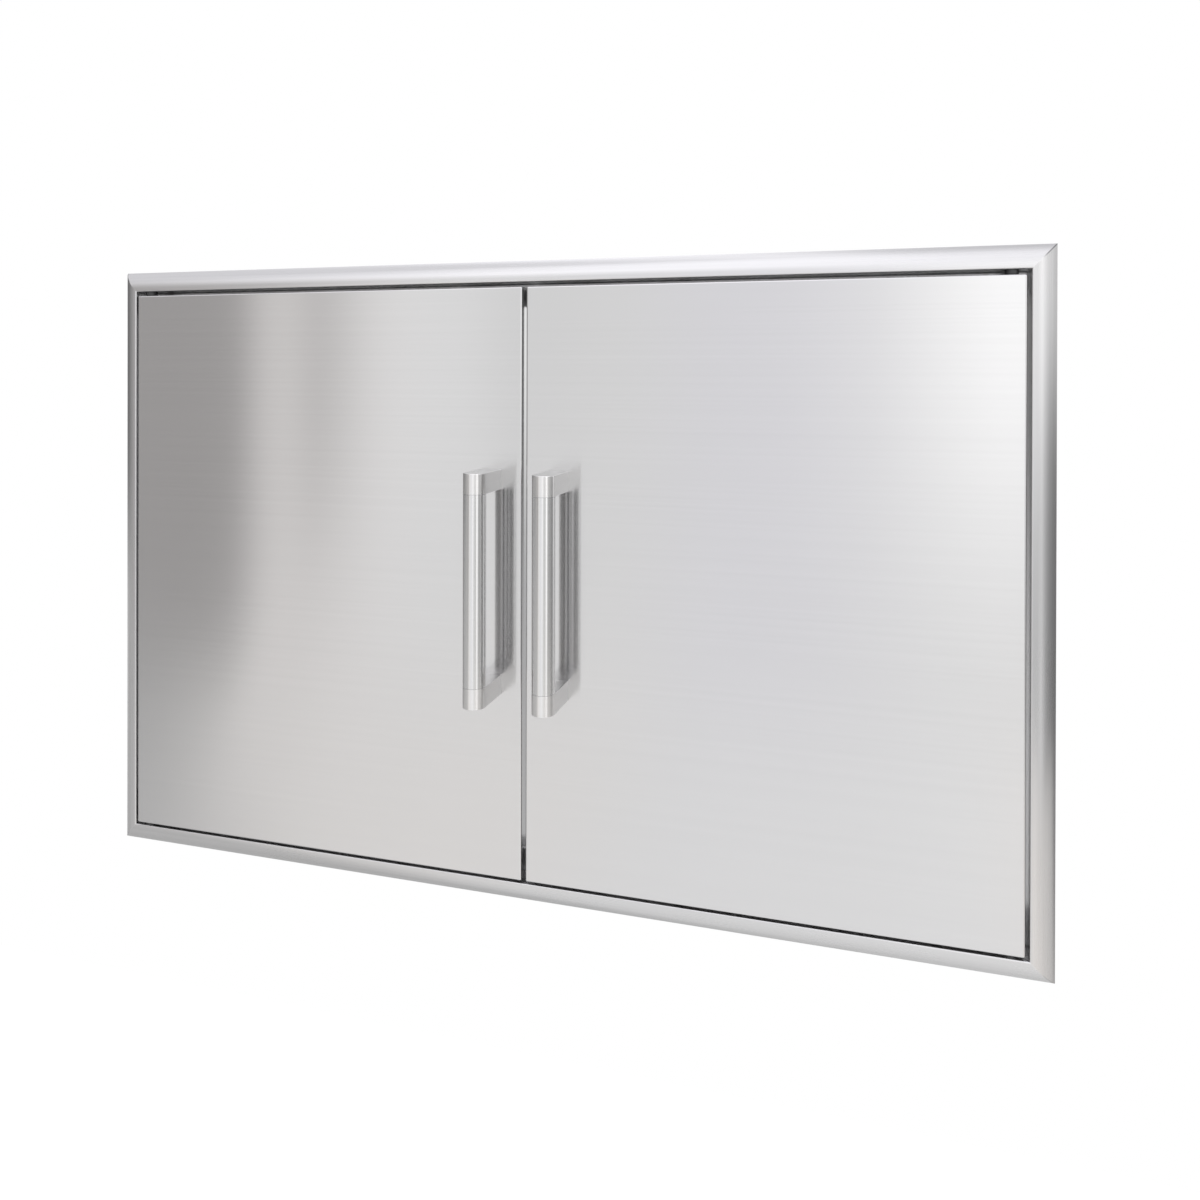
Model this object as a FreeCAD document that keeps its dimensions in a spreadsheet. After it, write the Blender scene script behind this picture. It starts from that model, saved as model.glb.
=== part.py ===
import FreeCAD, Part
import Sketcher
import math
import os
import re

# Double access door for an outdoor kitchen island.
# X runs to the right, Y runs back into the wall and Z runs up.
# The origin is the centre of the opening, on the face of the wall.
# All lengths are in millimetres.

# Driving sizes: name, value, meaning
SIZES = [
    ("frame_width", 832.0, "outside width of the rounded trim"),
    ("frame_height", 550.0, "outside height of the rounded trim"),
    ("trim_width", 19.0, "width of the trim, from its outer edge to the opening"),
    ("trim_depth", 11.0, "how far the trim stands off the wall at the opening"),
    ("fold_radius", 0.2, "inner radius of the folds in the frame and the door stops"),
    ("frame_sheet", 0.9, "sheet thickness of the frame"),
    ("wall_lip", 9.0, "width of the lip that lies on the wall"),
    ("jamb_depth", 50.0, "how far the jambs reach behind the face of the wall"),
    ("back_lip", 10.0, "width of the stiffening lip at the back of the jambs"),
    ("mount_hole", 5.5, "diameter of the mounting holes in the jambs"),
    ("mount_hole_edge", 16.0, "distance of the mounting holes from the back of the jambs"),
    ("mount_end_side", 86.0, "distance of a side jamb's holes from the opening's corner"),
    ("mount_end_rail", 147.0, "distance of the top and bottom holes from the opening's corner"),
    ("stop_height", 20.0, "height of the door stop flange"),
    ("stop_foot", 14.0, "depth of the door stop foot along the jamb"),
    ("stop_sheet", 1.2, "sheet thickness of the door stops"),
    ("stop_end_gap", 0.5, "gap between the ends of a stop and the side jambs"),
    ("bumper_thick", 6.4, "thickness of the rubber bumpers"),
    ("bumper_diameter", 9.0, "diameter of the rubber bumpers"),
    ("bumper_catch_gap", 60.0, "distance of the inner bumpers from the strike plates"),
    ("bumper_end", 65.0, "distance of the outer bumpers from the end of a stop"),
    ("door_gap", 3.1, "gap between a door and the frame at the hinge side"),
    ("top_gap", 4.2, "gap between a door and the frame at the top"),
    ("bottom_gap", 2.8, "gap between a door and the frame at the bottom"),
    ("centre_gap", 3.8, "gap between the two doors"),
    ("door_proud", 1.3, "how far the doors stand in front of the trim"),
    ("door_thickness", 15.5, "thickness of a closed door panel"),
    ("skin_sheet", 1.2, "sheet thickness of the front panel"),
    ("skin_edge", 1.5, "outer radius of the folds of the front panel"),
    ("liner_sheet", 1.0, "sheet thickness of the back panel"),
    ("liner_edge", 1.2, "outer radius of the folds of the back panel"),
    ("liner_flange", 9.0, "depth of the flanges of the back panel"),
    ("liner_clearance", 0.1, "gap between the back panel and the front panel's walls"),
    ("pivot_inset", 10.0, "distance of the pivot line from the hinge edge of the door"),
    ("pin_diameter", 5.0, "diameter of the pivot pins"),
    ("pin_head", 8.0, "head diameter of the pivot pins, behind the jamb"),
    ("pin_head_high", 1.2, "head height of the pivot pins"),
    ("pin_reach", 10.0, "how far a pivot pin enters the door"),
    ("pin_clearance", 0.05, "radial running gap between pin and bush"),
    ("bush_wall", 1.2, "wall of a bush"),
    ("bush_depth", 12.0, "how far a bush reaches into the door"),
    ("bush_flange", 1.2, "how far the flange of a bush stands out"),
    ("bush_flange_thick", 0.6, "thickness of the flange of a bush"),
    ("hinge_running", 0.1, "running gap between washer and bush flange"),
    ("pivot_block_height", 16.0, "height of the block that holds a bush"),
    ("block_edge", 0.5, "chamfer of the block, clear of the folds of the front panel"),
    ("hinge_plate_thick", 1.2, "thickness of a hinge plate"),
    ("hinge_plate_gap", 1.0, "gap between a hinge plate and the side jamb"),
    ("hinge_plate_nose", 4.4, "how far a hinge plate reaches in front of the pivot"),
    ("hinge_screw_back", 20.5, "distance of the plate screws behind the pivot"),
    ("hinge_screw_edge", 6.0, "distance of the plate screws from the plate's edges"),
    ("screw_diameter", 4.0, "diameter of the small screws"),
    ("screw_head", 7.0, "head diameter of the small screws"),
    ("screw_head_high", 2.2, "head height of the small screws"),
    ("screw_head_edge", 0.6, "chamfer of the heads of the small screws"),
    ("screw_through", 3.0, "how far the small screws stand out behind the jamb"),
    ("screw_socket", 2.5, "width across flats of the socket in a small screw"),
    ("screw_socket_depth", 1.3, "depth of the socket in a small screw"),
    ("catch_offset", 46.0, "distance of a catch from the centre line"),
    ("catch_ear", 12.0, "length of the housing beside the magnet, which takes a screw"),
    ("catch_height", 18.0, "height of a catch housing"),
    ("catch_depth", 14.0, "depth of a catch housing"),
    ("catch_round", 1.5, "rounding of the housing's upright edges"),
    ("magnet_width", 28.0, "width of the catch magnet"),
    ("magnet_height", 4.0, "height of the catch magnet"),
    ("magnet_depth", 12.0, "depth of the catch magnet"),
    ("pole_thick", 1.2, "thickness of a pole plate"),
    ("window_margin", 1.5, "gap between the poles and the window in the stop"),
    ("strike_end", 4.0, "length of the strike plate beyond a rivet"),
    ("strike_height", 6.4, "height of the strike plate"),
    ("strike_thick", 1.2, "thickness of the strike plate"),
    ("rivet_gap", 5.5, "distance of a rivet from the window in the stop"),
    ("rivet_head", 5.0, "head diameter of a rivet"),
    ("rivet_head_high", 0.6, "head height of a rivet"),
    ("rivet_head_edge", 0.3, "chamfer of a rivet head"),
    ("rivet_core", 1.8, "diameter of the hollow in a rivet head"),
    ("rivet_core_depth", 0.3, "depth of the hollow in a rivet head"),
    ("handle_length", 192.5, "overall length of a handle"),
    ("handle_diameter", 19.0, "diameter of the handle tube and of its end caps"),
    ("handle_standoff", 35.0, "distance from the door face to the tube's axis"),
    ("handle_offset", 30.0, "distance from the centre line to the tube's axis"),
    ("handle_height", 0.0, "height of the handle's middle above the centre"),
    ("cap_height", 17.0, "height of a handle bracket"),
    ("cap_edge", 0.6, "rounding of the closed end of a bracket"),
    ("joint_edge", 0.15, "chamfer at the joints of tube and brackets"),
    ("tube_wall", 1.5, "wall of the handle tube"),
    ("spigot_length", 12.0, "how far a bracket reaches into the tube"),
    ("spigot_clearance", 0.05, "radial gap between a bracket's spigot and the tube"),
    ("handle_screw", 5.0, "diameter of the handle screws"),
    ("handle_screw_grip", 14.0, "how far a handle screw enters its bracket"),
    ("handle_screw_head", 9.5, "head diameter of the handle screws"),
    ("handle_head_high", 2.8, "head height of the handle screws"),
    ("handle_head_edge", 0.8, "chamfer of the heads of the handle screws"),
    ("handle_hole_end", 1.0, "depth of a bracket's hole beyond its screw"),
    ("handle_socket", 3.0, "width across flats of the socket in a handle screw"),
    ("handle_socket_depth", 1.8, "depth of the socket in a handle screw"),
    ("spacer_diameter", 10.0, "outer diameter of the spacers inside the doors"),
    ("hole_clearance", 0.15, "radial gap between a screw and a plain hole"),
]

# Sizes that follow from the driving sizes
DERIVED = {
    "fold_outer": "(fold_radius + frame_sheet)",
    "open_x": "(frame_width / 2 - trim_width)",
    "open_z": "(frame_height / 2 - trim_width)",
    "nose_radius": "(((trim_width - fold_outer)^2 + trim_depth^2) / (2 * trim_depth))",
    "mount_y": "(jamb_depth - mount_hole_edge)",
    "door_front": "(-trim_depth - door_proud)",
    "door_back": "(door_thickness - trim_depth - door_proud)",
    "door_outer": "(open_x - door_gap)",
    "door_inner": "(centre_gap / 2)",
    "skin_inside": "(door_front + skin_sheet)",
    "liner_front": "(door_back - liner_sheet)",
    "core_depth": "(door_thickness - skin_sheet - liner_sheet)",
    "pivot_x": "(door_outer - pivot_inset)",
    "pivot_y": "(door_front + door_thickness / 2)",
    "pin_radius": "(pin_diameter / 2)",
    "bush_bore": "(pin_radius + pin_clearance)",
    "bush_radius": "(bush_bore + bush_wall)",
    "bush_flange_radius": "(bush_radius + bush_flange)",
    "block_half": "(pivot_inset - skin_sheet)",
    "plate_half": "(pivot_inset + door_gap - hinge_plate_gap)",
    "plate_screw_x": "(plate_half - hinge_screw_edge)",
    "plate_outside": "(frame_sheet + hinge_plate_thick)",
    "stop_front": "(door_back + bumper_thick)",
    "stop_back": "(stop_front + stop_sheet)",
    "stop_half": "(open_x - stop_end_gap)",
    "catch_top": "(open_z - stop_sheet)",
    "catch_z": "(catch_top - catch_height / 2)",
    "catch_half": "(magnet_width / 2 + catch_ear)",
    "catch_screw_x": "(magnet_width / 2 + catch_ear / 2)",
    "window_half": "(magnet_width / 2 + window_margin)",
    "rivet_x": "(window_half + rivet_gap)",
    "strike_half": "(rivet_x + strike_end)",
    "bumper_near": "(catch_offset + strike_half + bumper_catch_gap)",
    "bumper_far": "(stop_half - bumper_end)",
    "pole_front": "(door_back + strike_thick)",
    "pole_half": "(magnet_height / 2 + pole_thick)",
    "tube_radius": "(handle_diameter / 2)",
    "spigot_radius": "(tube_radius - tube_wall - spigot_clearance)",
    "tube_half": "(handle_length / 2 - cap_height)",
    "handle_y": "(door_front - handle_standoff)",
    "handle_screw_z": "(tube_half + cap_height / 2)",
}

# A cut runs this far past the faces that it opens
CUT_MARGIN = 2.0

# An arc up to a half turn runs forward, and this is added to that limit
HALF_TURN_SLACK = 1e-6

# Lengths that differ by less than this count as equal
CLOSE = 1e-4

LEFT = -1
RIGHT = 1
BOTTOM = -1
TOP = 1
SIDE_NAMES = {LEFT: "left", RIGHT: "right"}
END_NAMES = {BOTTOM: "bottom", TOP: "top"}
END_GAPS = {BOTTOM: "bottom_gap", TOP: "top_gap"}

doc = FreeCAD.newDocument("access_door")
sheet = doc.addObject("Spreadsheet::Sheet", "Sizes")
for row, (alias, value, meaning) in enumerate(SIZES, start=1):
    sheet.set("A%d" % row, meaning)
    sheet.set("B%d" % row, str(value))
    sheet.setAlias("B%d" % row, alias)
doc.recompute()

ALIASES = {alias for alias, value, meaning in SIZES}
PARTS = []


def formula(text):
    """A formula in size names, written out for the sheet."""
    def spell(match):
        word = match.group()
        if word in DERIVED:
            return formula(DERIVED[word])
        if word in ALIASES:
            return "Sizes." + word
        return word
    return re.sub(r"[a-z]+(?:_[a-z]+)+", spell, text)


def number(text):
    """The present value of a formula in size names."""
    return float(sheet.evalExpression(formula(text)))


def bind(thing, path, text):
    """Tie one property or constraint of a thing to a formula."""
    thing.setExpression(path, formula(text))


def new_body(label):
    """An empty sub-part with its own name."""
    body = doc.addObject("PartDesign::Body", label)
    body.Label = label
    PARTS.append(body)
    return body


def place(body, x="0", y="0", z="0", axis=(0, 1, 0), angle=0):
    """Put a sub-part at a place given by formulas, turned about an axis."""
    turn = FreeCAD.Rotation(FreeCAD.Vector(*axis), angle)
    body.Placement = FreeCAD.Placement(FreeCAD.Vector(number(x), number(y), number(z)), turn)
    for letter, text in (("x", x), ("y", y), ("z", z)):
        bind(body, "Placement.Base." + letter, text)


def new_sketch(body, name, plane, offset="0"):
    """A sketch on one of the body's own planes, at a height along the plane's normal."""
    sketch = body.newObject("Sketcher::SketchObject", body.Name + "_" + name)
    support = [part for part in body.Origin.OriginFeatures if part.Role == plane + "_Plane"][0]
    sketch.AttachmentSupport = [(support, "")]
    sketch.MapMode = "FlatFace"
    sketch.AttachmentOffset = FreeCAD.Placement(FreeCAD.Vector(0, 0, number(offset)),
                                                FreeCAD.Rotation())
    bind(sketch, "AttachmentOffset.Base.z", offset)
    return sketch


def hold(sketch, kind, text, *where):
    """Add one dimension to a sketch and tie it to a formula."""
    index = sketch.addConstraint(Sketcher.Constraint(kind, *where, number(text)))
    bind(sketch, "Constraints[%d]" % index, text)


def fix_point(sketch, edge, end, x, y):
    """Hold a point of a sketch at a place given by two formulas."""
    hold(sketch, "DistanceX", x, -1, 1, edge, end)
    hold(sketch, "DistanceY", y, -1, 1, edge, end)


def outline(sketch, corners):
    """Draw a closed outline.

    Each corner is (x, y), or (x, y, centre x, centre y) where the edge that
    leaves the corner is an arc of up to a half turn.
    """
    spots = [FreeCAD.Vector(number(corner[0]), number(corner[1]), 0) for corner in corners]
    ends = []
    for index, corner in enumerate(corners):
        start = spots[index]
        finish = spots[(index + 1) % len(spots)]
        if len(corner) == 2:
            edge = sketch.addGeometry(Part.LineSegment(start, finish), False)
            ends.append((edge, 1, 2))
            continue
        centre = FreeCAD.Vector(number(corner[2]), number(corner[3]), 0)
        first = math.atan2(start.y - centre.y, start.x - centre.x)
        last = math.atan2(finish.y - centre.y, finish.x - centre.x)
        forward = (last - first) % (2 * math.pi) < math.pi + HALF_TURN_SLACK
        ring = Part.Circle(centre, FreeCAD.Vector(0, 0, 1), centre.distanceToPoint(start))
        angles = (first, last) if forward else (last, first)
        edge = sketch.addGeometry(Part.ArcOfCircle(ring, *angles), False)
        ends.append((edge, 1, 2) if forward else (edge, 2, 1))
        chord = finish - start
        if abs(chord.x) > abs(chord.y):
            hold(sketch, "DistanceY", corner[3], -1, 1, edge, 3)
        else:
            hold(sketch, "DistanceX", corner[2], -1, 1, edge, 3)
    for index, (edge, begin, end) in enumerate(ends):
        following = ends[(index + 1) % len(ends)]
        sketch.addConstraint(Sketcher.Constraint("Coincident", edge, end,
                                                 following[0], following[1]))
        fix_point(sketch, edge, begin, corners[index][0], corners[index][1])


def rectangle(sketch, x_low, x_high, y_low, y_high):
    """Draw a rectangle between four formulas."""
    outline(sketch, [(x_low, y_low), (x_high, y_low), (x_high, y_high), (x_low, y_high)])


def circle(sketch, x, y, radius):
    """Draw a circle at a place given by formulas."""
    spot = FreeCAD.Vector(number(x), number(y), 0)
    edge = sketch.addGeometry(Part.Circle(spot, FreeCAD.Vector(0, 0, 1), number(radius)), False)
    fix_point(sketch, edge, 3, x, y)
    hold(sketch, "Radius", radius, edge)


def hexagon(sketch, x, y, across):
    """Draw a hexagon about a place given by formulas, with its width across flats."""
    corner = "(%s / sqrt(3))" % across
    outline(sketch, [
        ("%s + %s" % (x, corner), y),
        ("%s + %s / 2" % (x, corner), "%s + %s / 2" % (y, across)),
        ("%s - %s / 2" % (x, corner), "%s + %s / 2" % (y, across)),
        ("%s - %s" % (x, corner), y),
        ("%s - %s / 2" % (x, corner), "%s - %s / 2" % (y, across)),
        ("%s + %s / 2" % (x, corner), "%s - %s / 2" % (y, across)),
    ])


def pad(body, sketch, length, symmetric=False, back=False):
    """Raise a solid from a sketch, along its normal or back from it."""
    feature = body.newObject("PartDesign::Pad", sketch.Name + "_pad")
    feature.Profile = sketch
    if symmetric:
        feature.SideType = "Symmetric"
    feature.Reversed = back
    bind(feature, "Length", length)
    body.Tip = feature
    doc.recompute()
    return feature


def pocket(body, sketch, length=None, symmetric=False, forward=False):
    """Cut a sketch out of the body, right through where no length is given.

    The cut goes against the sketch's normal, or forward along it.
    """
    before = body.Shape.Volume
    feature = body.newObject("PartDesign::Pocket", sketch.Name + "_cut")
    feature.Profile = sketch
    if symmetric:
        feature.SideType = "Symmetric"
    feature.Reversed = forward
    if length is None:
        feature.Type = "ThroughAll"
    else:
        feature.Type = "Length"
        bind(feature, "Length", length)
    body.Tip = feature
    doc.recompute()
    if not body.Shape.Volume < before:
        raise RuntimeError(feature.Name + " cuts nothing")
    return feature


def soften(body, kind, radius, wanted, name=""):
    """Round or chamfer the edges of the body that a test picks out."""
    base = body.Tip
    names = ["Edge%d" % (index + 1) for index, edge in enumerate(base.Shape.Edges)
             if wanted(edge)]
    feature = body.newObject("PartDesign::" + kind, body.Name + name + "_" + kind.lower())
    feature.Base = (base, names)
    bind(feature, "Radius" if kind == "Fillet" else "Size", radius)
    body.Tip = feature
    doc.recompute()
    return feature


def lies_at(edge, letter, value):
    """True where the whole edge lies in the plane of that coordinate."""
    box = edge.BoundBox
    low = getattr(box, letter + "Min")
    high = getattr(box, letter + "Max")
    return abs(low - value) < CLOSE and abs(high - value) < CLOSE


def round_at(edge, radius):
    """True for a round edge of that radius."""
    curve = edge.Curve
    return hasattr(curve, "Radius") and abs(curve.Radius - radius) < CLOSE


def runs_back(edge, length):
    """True for an edge that runs along Y for at least that length."""
    return edge.BoundBox.YLength > length - CLOSE


def is_straight(edge):
    """True for an edge that isn't round."""
    return not hasattr(edge.Curve, "Radius")


def signed(side, text):
    """A formula times the sign of the side."""
    return text if side > 0 else "-" + text


def door_edge(end, inset="0"):
    """Formula for Z at the top or bottom edge of the doors, or a little inside it."""
    return signed(end, "(open_z - %s - %s)" % (END_GAPS[end], inset))


# Frame


def frame_member(label, angle, reach, half_length, hole_x):
    """One side of the frame, folded from one strip and mitred at both ends.

    It is drawn as the top side. Seen along X, the strip lies on the wall with
    a lip, rises in the rounded trim, turns into the opening and runs back as
    the jamb, with a stiffening lip at its end.
    """
    body = new_body(label)
    inner = "(%s - trim_width)" % reach
    crown = "(%s + fold_outer)" % inner
    front_bend = "(fold_outer - trim_depth)"
    back_bend = "(jamb_depth - fold_outer)"
    lip_bend = "(%s - fold_radius)" % inner
    jamb_outside = "(%s + frame_sheet)" % inner
    lip_front = "(jamb_depth - frame_sheet)"
    nose_y = "(nose_radius - trim_depth)"
    under_radius = "(nose_radius - frame_sheet)"
    under_end = "(%s + sqrt(%s^2 - (frame_sheet + %s)^2))" % (crown, under_radius, nose_y)
    profile = new_sketch(body, "strip", "YZ")
    outline(profile, [
        ("jamb_depth", inner + " - back_lip"),
        ("jamb_depth", lip_bend, back_bend, lip_bend),
        (back_bend, jamb_outside),
        (front_bend, jamb_outside, front_bend, crown),
        ("(frame_sheet - trim_depth)", crown, nose_y, crown),
        ("-frame_sheet", under_end),
        ("-frame_sheet", reach + " - wall_lip"),
        ("0", reach + " - wall_lip"),
        ("0", reach, nose_y, crown),
        ("-trim_depth", crown, front_bend, crown),
        (front_bend, inner),
        (back_bend, inner, back_bend, lip_bend),
        (lip_front, lip_bend),
        (lip_front, inner + " - back_lip"),
    ])
    pad(body, profile, "2 * " + half_length, symmetric=True)

    holes = new_sketch(body, "mounting_holes", "XY")
    for sign in ("", "-"):
        circle(holes, sign + hole_x, "mount_y", "(mount_hole / 2)")
    pocket(body, holes, forward=True)

    mitre = new_sketch(body, "mitre", "XZ")
    low = "(%s - back_lip - %s)" % (inner, CUT_MARGIN)
    high = "(%s + %s)" % (reach, CUT_MARGIN)
    shift = "(%s - %s)" % (half_length, reach)
    for side in (LEFT, RIGHT):
        outline(mitre, [
            (signed(side, "(%s + %s)" % (low, shift)), low),
            (signed(side, "(%s + %s)" % (high, shift)), high),
            (signed(side, "(%s + %s)" % (high, shift)), low),
        ])
    pocket(body, mitre, symmetric=True)
    place(body, angle=angle)


def door_stop(label, angle, with_windows):
    """An angle strip behind the doors, drawn under the top jamb.

    It runs from jamb to jamb, clear of the swing of the doors' hinge edges,
    and the hinge screws hold it.
    """
    body = new_body(label)
    bend_y = "(stop_back + fold_radius)"
    bend_z = "(catch_top - fold_radius)"
    profile = new_sketch(body, "angle", "YZ")
    outline(profile, [
        ("stop_front", bend_z, bend_y, bend_z),
        (bend_y, "open_z"),
        ("(stop_front + stop_foot)", "open_z"),
        ("(stop_front + stop_foot)", "catch_top"),
        (bend_y, "catch_top", bend_y, bend_z),
        ("stop_back", bend_z),
        ("stop_back", "(open_z - stop_height)"),
        ("stop_front", "(open_z - stop_height)"),
    ])
    pad(body, profile, "2 * stop_half", symmetric=True)
    screw_spots = hinge_spots()
    if with_windows:
        windows = new_sketch(body, "catch_windows", "XZ")
        half_height = "(pole_half + window_margin)"
        for side in (LEFT, RIGHT):
            middle = signed(side, "catch_offset")
            rectangle(windows, middle + " - window_half", middle + " + window_half",
                      "catch_z - " + half_height, "catch_z + " + half_height)
        pocket(body, windows, symmetric=True)
        screw_spots = screw_spots + catch_spots()
    holes = new_sketch(body, "screw_holes", "XY")
    for x, y in screw_spots:
        circle(holes, x, y, "(screw_diameter / 2)")
    pocket(body, holes, forward=True)
    place(body, angle=angle)


def catch_screw_y():
    """Formula for Y of the catch screws, in the middle of the stop's foot."""
    return "((stop_back + stop_front + stop_foot) / 2)"


def catch_spots():
    """Formulas for X and Y of the four catch screws."""
    return [(signed(side, "catch_offset") + sign + "catch_screw_x", catch_screw_y())
            for side in (LEFT, RIGHT) for sign in (" - ", " + ")]


def drill_frame(label, screw_spots):
    """Drill the jamb of the top or bottom side for its pivot pins and small screws.

    The holes end just outside the jamb, short of the rounded trim.
    """
    body = doc.getObject(label)
    holes = new_sketch(body, "hardware_holes", "XY")
    for side in (LEFT, RIGHT):
        circle(holes, signed(side, "pivot_x"), "pivot_y", "pin_radius")
    for x, y in screw_spots:
        circle(holes, x, y, "(screw_diameter / 2)")
    pocket(body, holes, "open_z + frame_sheet + %s" % CUT_MARGIN, forward=True)


def hinge_spots():
    """Formulas for X and Y of the hinge screws in one jamb."""
    return [(signed(side, "pivot_x") + sign + "plate_screw_x",
             "(pivot_y + hinge_screw_back)")
            for side in (LEFT, RIGHT) for sign in (" - ", " + ")]


def bumpers(label, end):
    """Four rubber discs on the front of a door stop."""
    body = new_body(label)
    discs = new_sketch(body, "discs", "XZ", "-stop_front")
    for side in (LEFT, RIGHT):
        for distance in ("bumper_near", "bumper_far"):
            circle(discs, signed(side, distance),
                   signed(end, "(open_z - stop_height / 2)"), "(bumper_diameter / 2)")
    pad(body, discs, "bumper_thick")


def hinge_set(side, end):
    """The frame's part of one pivot: plate, pin and washer.

    Each is drawn on the pivot's axis, standing on the bottom jamb. The plate
    lies on the hidden side of the jamb, and the pin is fixed in both.
    """
    name = "%s_%s_" % (SIDE_NAMES[side], END_NAMES[end])
    gap = END_GAPS[end]
    angle = 180 if end == TOP else 0
    spot = (signed(side, "pivot_x"), "pivot_y", signed(end, "open_z"))

    plate = new_body(name + "hinge_plate")
    face = new_sketch(plate, "face", "XY", "-plate_outside")
    rectangle(face, "-plate_half", "plate_half",
              "-hinge_plate_nose", "(hinge_screw_back + hinge_screw_edge)")
    circle(face, "0", "0", "pin_radius")
    for sign in ("-", ""):
        circle(face, sign + "plate_screw_x", "hinge_screw_back", "(screw_diameter / 2)")
    pad(plate, face, "hinge_plate_thick")
    soften(plate, "Fillet", "(hinge_plate_nose / 2)",
           lambda edge: edge.BoundBox.ZLength > CLOSE and is_straight(edge)
           and edge.BoundBox.YMin < 0 and abs(edge.BoundBox.XMin) > number("pin_radius") + CLOSE)
    place(plate, *spot, angle=angle)

    pin = new_body(name + "pivot_pin")
    shank = new_sketch(pin, "shank", "XY", "-plate_outside")
    circle(shank, "0", "0", "pin_radius")
    pad(pin, shank, "plate_outside + %s + pin_reach" % gap)
    head = new_sketch(pin, "head", "XY", "-plate_outside")
    circle(head, "0", "0", "(pin_head / 2)")
    pad(pin, head, "pin_head_high", back=True)
    soften(pin, "Chamfer", "(pin_radius / 4)",
           lambda edge: lies_at(edge, "Z", number("%s + pin_reach" % gap)))
    place(pin, *spot, angle=angle)

    washer = new_body(name + "pivot_washer")
    ring = new_sketch(washer, "ring", "XY")
    circle(ring, "0", "0", "bush_flange_radius")
    circle(ring, "0", "0", "bush_bore")
    pad(washer, ring, "%s - bush_flange_thick - hinge_running" % gap)
    place(washer, *spot, angle=angle)


def hinge_screws(label, end):
    """Four screws through the stop's foot and the jamb into the two hinge plates."""
    body = new_body(label)
    shanks = new_sketch(body, "shanks", "XY", "-(frame_sheet + screw_through)")
    heads = new_sketch(body, "heads", "XY", "stop_sheet")
    for x, y in hinge_spots():
        circle(shanks, x, y, "(screw_diameter / 2)")
        circle(heads, x, y, "(screw_head / 2)")
    pad(body, shanks, "frame_sheet + screw_through + stop_sheet")
    pad(body, heads, "screw_head_high")
    soften(body, "Chamfer", "screw_head_edge",
           lambda edge: lies_at(edge, "Z", number("stop_sheet + screw_head_high")))
    sockets = new_sketch(body, "sockets", "XY", "(stop_sheet + screw_head_high)")
    for x, y in hinge_spots():
        hexagon(sockets, x, y, "screw_socket")
    pocket(body, sockets, "screw_socket_depth")
    place(body, z=signed(end, "open_z"), angle=180 if end == TOP else 0)


def magnetic_catch(side):
    """Housing, magnet and pole plates of one catch, hung under the top jamb."""
    name = SIDE_NAMES[side] + "_catch_"
    spot = (signed(side, "catch_offset"), "0", "catch_z")

    housing = new_body(name + "housing")
    top = new_sketch(housing, "top", "XY", "(catch_height / 2)")
    rectangle(top, "-catch_half", "catch_half", "stop_back", "(stop_back + catch_depth)")
    for sign in ("-", ""):
        circle(top, sign + "catch_screw_x", catch_screw_y(), "(screw_diameter / 2)")
    pad(housing, top, "catch_height", back=True)
    slot = new_sketch(housing, "magnet_slot", "XZ", "-stop_back")
    rectangle(slot, "-(magnet_width / 2)", "(magnet_width / 2)", "-pole_half", "pole_half")
    pocket(housing, slot, "pole_front + magnet_depth + pole_thick - stop_back")
    soften(housing, "Chamfer", "fold_radius",
           lambda edge: lies_at(edge, "Y", number("stop_back"))
           and lies_at(edge, "Z", number("catch_height / 2")))
    soften(housing, "Fillet", "catch_round",
           lambda edge: edge.BoundBox.ZLength > number("catch_height") - CLOSE
           and is_straight(edge)
           and abs(edge.BoundBox.XMin) > number("catch_half") - CLOSE
           and edge.BoundBox.YMin > number("stop_back") + CLOSE)
    place(housing, *spot)

    magnet = new_body(name + "magnet")
    block = new_sketch(magnet, "block", "XZ", "-(pole_front + pole_thick)")
    rectangle(block, "-(magnet_width / 2)", "(magnet_width / 2)",
              "-(magnet_height / 2)", "(magnet_height / 2)")
    pad(magnet, block, "magnet_depth", back=True)
    place(magnet, *spot)

    poles = new_body(name + "poles")
    plates = new_sketch(poles, "plates", "XZ", "-pole_front")
    rectangle(plates, "-(magnet_width / 2)", "(magnet_width / 2)",
              "(magnet_height / 2)", "pole_half")
    rectangle(plates, "-(magnet_width / 2)", "(magnet_width / 2)",
              "-pole_half", "-(magnet_height / 2)")
    pad(poles, plates, "magnet_depth + pole_thick", back=True)
    place(poles, *spot)


def catch_screws():
    """Four screws that hold the catches up through the stop and the top jamb."""
    body = new_body("catch_screws")
    shanks = new_sketch(body, "shanks", "XY", "(catch_top - catch_height)")
    heads = new_sketch(body, "heads", "XY", "(catch_top - catch_height)")
    for x, y in catch_spots():
        circle(shanks, x, y, "(screw_diameter / 2)")
        circle(heads, x, y, "(screw_head / 2)")
    pad(body, shanks, "catch_height + stop_sheet + frame_sheet + screw_through")
    pad(body, heads, "screw_head_high", back=True)
    soften(body, "Chamfer", "screw_head_edge",
           lambda edge: lies_at(edge, "Z", number("catch_top - catch_height - screw_head_high")))
    sockets = new_sketch(body, "sockets", "XY", "(catch_top - catch_height - screw_head_high)")
    for x, y in catch_spots():
        hexagon(sockets, x, y, "screw_socket")
    pocket(body, sockets, "screw_socket_depth", forward=True)


# Doors


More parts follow.
